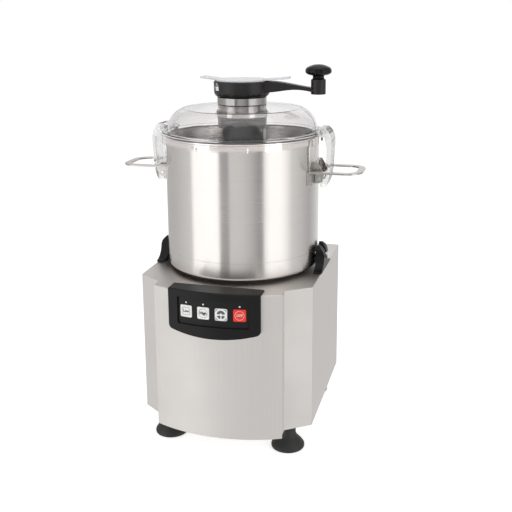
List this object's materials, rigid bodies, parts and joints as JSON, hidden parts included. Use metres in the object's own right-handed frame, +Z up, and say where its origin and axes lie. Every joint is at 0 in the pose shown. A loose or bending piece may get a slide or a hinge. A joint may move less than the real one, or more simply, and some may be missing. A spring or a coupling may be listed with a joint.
{
  "type": "meat bowl cutter",
  "caption": "Table-top meat bowl cutter: stainless housing with a key panel, lift-off bowl with spinning blades, clear latched lid and a hand-cranked wall scraper.",
  "frame": {"origin": "on the table, under the centre of the whole object's bounding box", "axes": "+Z up; the key panel faces -Y; the crank knob stands at +X at rest"},
  "size_m": [0.386, 0.3066, 0.5828],
  "materials": {
    "housing_steel": "vertically brushed stainless steel",
    "bowl_steel": "spun and brushed stainless steel",
    "bright_steel": "polished stainless steel",
    "screw_steel": "plain stainless fasteners",
    "blade_steel": "ground stainless blade steel",
    "cast_aluminium": "cast aluminium",
    "core_iron": "lacquered core laminations",
    "winding_copper": "enamelled copper wire",
    "foot_rubber": "black moulded rubber",
    "seal_rubber": "dark grey seal rubber",
    "black_plastic": "satin black moulded plastic",
    "knob_black": "glossy black phenolic",
    "membrane_black": "matt black key membrane",
    "key_white": "white key cap",
    "key_red": "red key cap",
    "lamp_white": "clear lamp window",
    "board_green": "green circuit board",
    "capacitor_white": "light capacitor case",
    "clear_plastic": "clear polycarbonate",
    "wiper_white": "white food-grade silicone"
  },
  "bodies": {
    "base": {"base_housing": "housing_steel", "base_plate": "housing_steel", "rear_cover": "housing_steel", "housing_screws": "screw_steel", "foot_front_left": "foot_rubber", "foot_front_right": "foot_rubber", "foot_rear_left": "foot_rubber", "foot_rear_right": "foot_rubber", "foot_bolts": "screw_steel", "motor_stator": "core_iron", "stator_windings": "winding_copper", "motor_upper_shield": "cast_aluminium", "motor_lower_shield": "cast_aluminium", "shaft_bearings": "bright_steel", "shaft_seal": "seal_rubber", "motor_bolts": "screw_steel", "run_capacitor": "capacitor_white", "cable_gland": "black_plastic", "control_bezel": "black_plastic", "control_membrane": "membrane_black", "indicator_lamps": "lamp_white", "control_board": "board_green", "bowl_seat": "seal_rubber", "fork_left": "black_plastic", "fork_right": "black_plastic"},
    "rotor": {"motor_shaft": "screw_steel", "rotor_core": "core_iron", "cooling_fan": "black_plastic"},
    "key_low": {"button_low": "key_white"},
    "key_high": {"button_high": "key_white"},
    "key_pulse": {"button_pulse": "key_white"},
    "key_off": {"button_off": "key_red"},
    "bowl": {"bowl_shell": "bowl_steel", "bowl_tube": "bowl_steel", "bowl_pins": "bright_steel", "handle_left": "bright_steel", "handle_right": "bright_steel", "catch_left": "bright_steel", "catch_right": "bright_steel", "catch_pins": "bright_steel"},
    "blades": {"blade_hub": "blade_steel", "lower_blade": "blade_steel", "blade_spacer": "blade_steel", "upper_blade": "blade_steel", "blade_nut": "blade_steel", "hub_knob": "black_plastic"},
    "lid": {"lid_dome": "clear_plastic", "lid_seal": "seal_rubber", "latch_pins": "bright_steel"},
    "left_latch": {"latch_left": "clear_plastic"},
    "right_latch": {"latch_right": "clear_plastic"},
    "crank": {"crank_handle": "black_plastic", "crank_pin": "screw_steel", "scraper_sleeve": "bright_steel", "sleeve_retainer": "clear_plastic", "scraper_hub": "black_plastic", "scraper_arm": "black_plastic", "wiper_strip": "wiper_white"},
    "knob": {"crank_knob": "knob_black"},
    "cap": {"feed_cap": "clear_plastic"}
  },
  "joints": [
    {"name": "motor_spin", "type": "hinge", "parent": "base", "child": "rotor", "pos_m": [0, 0.0179, 0.16], "axis": [0, 0, 1], "continuous": true},
    {"name": "bowl_lift", "type": "slide", "parent": "base", "child": "bowl", "axis": [0, 0, 1], "range_m": [0, 0.12]},
    {"name": "blade_spin", "type": "hinge", "parent": "bowl", "child": "blades", "pos_m": [0, 0.0179, 0.3], "axis": [0, 0, 1], "continuous": true},
    {"name": "lid_lift", "type": "slide", "parent": "bowl", "child": "lid", "axis": [0, 0, 1], "range_m": [0, 0.23]},
    {"name": "left_latch_swing", "type": "hinge", "parent": "lid", "child": "left_latch", "pos_m": [-0.13, 0.0179, 0.4815], "axis": [0, 1, 0], "range_deg": [0, 110.05]},
    {"name": "right_latch_swing", "type": "hinge", "parent": "lid", "child": "right_latch", "pos_m": [0.13, 0.0179, 0.4815], "axis": [0, -1, 0], "range_deg": [0, 110.05]},
    {"name": "crank_turn", "type": "hinge", "parent": "lid", "child": "crank", "pos_m": [0, 0.0179, 0.53], "axis": [0, 0, 1], "continuous": true},
    {"name": "knob_spin", "type": "hinge", "parent": "crank", "child": "knob", "pos_m": [0.1203, 0.0179, 0.565], "axis": [0, 0, 1], "continuous": true},
    {"name": "cap_lift", "type": "slide", "parent": "crank", "child": "cap", "axis": [0, 0, 1], "range_m": [0, 0.06]},
    {"name": "low_press", "type": "slide", "parent": "base", "child": "key_low", "axis": [0, 1, 0], "range_m": [0, 0.0008], "stiffness_N_per_m": 600},
    {"name": "high_press", "type": "slide", "parent": "base", "child": "key_high", "axis": [0, 1, 0], "range_m": [0, 0.0008], "stiffness_N_per_m": 600},
    {"name": "pulse_press", "type": "slide", "parent": "base", "child": "key_pulse", "axis": [0, 1, 0], "range_m": [0, 0.0008], "stiffness_N_per_m": 600},
    {"name": "off_press", "type": "slide", "parent": "base", "child": "key_off", "axis": [0, 1, 0], "range_m": [0, 0.0008], "stiffness_N_per_m": 600}
  ],
  "couplings": [
    {"joint": "blade_spin", "follows": "motor_spin", "ratio": 1},
    {"joint": "left_latch_swing", "follows": "lid_lift", "rad_per_m": 8.3472},
    {"joint": "right_latch_swing", "follows": "lid_lift", "rad_per_m": 8.3472}
  ]
}
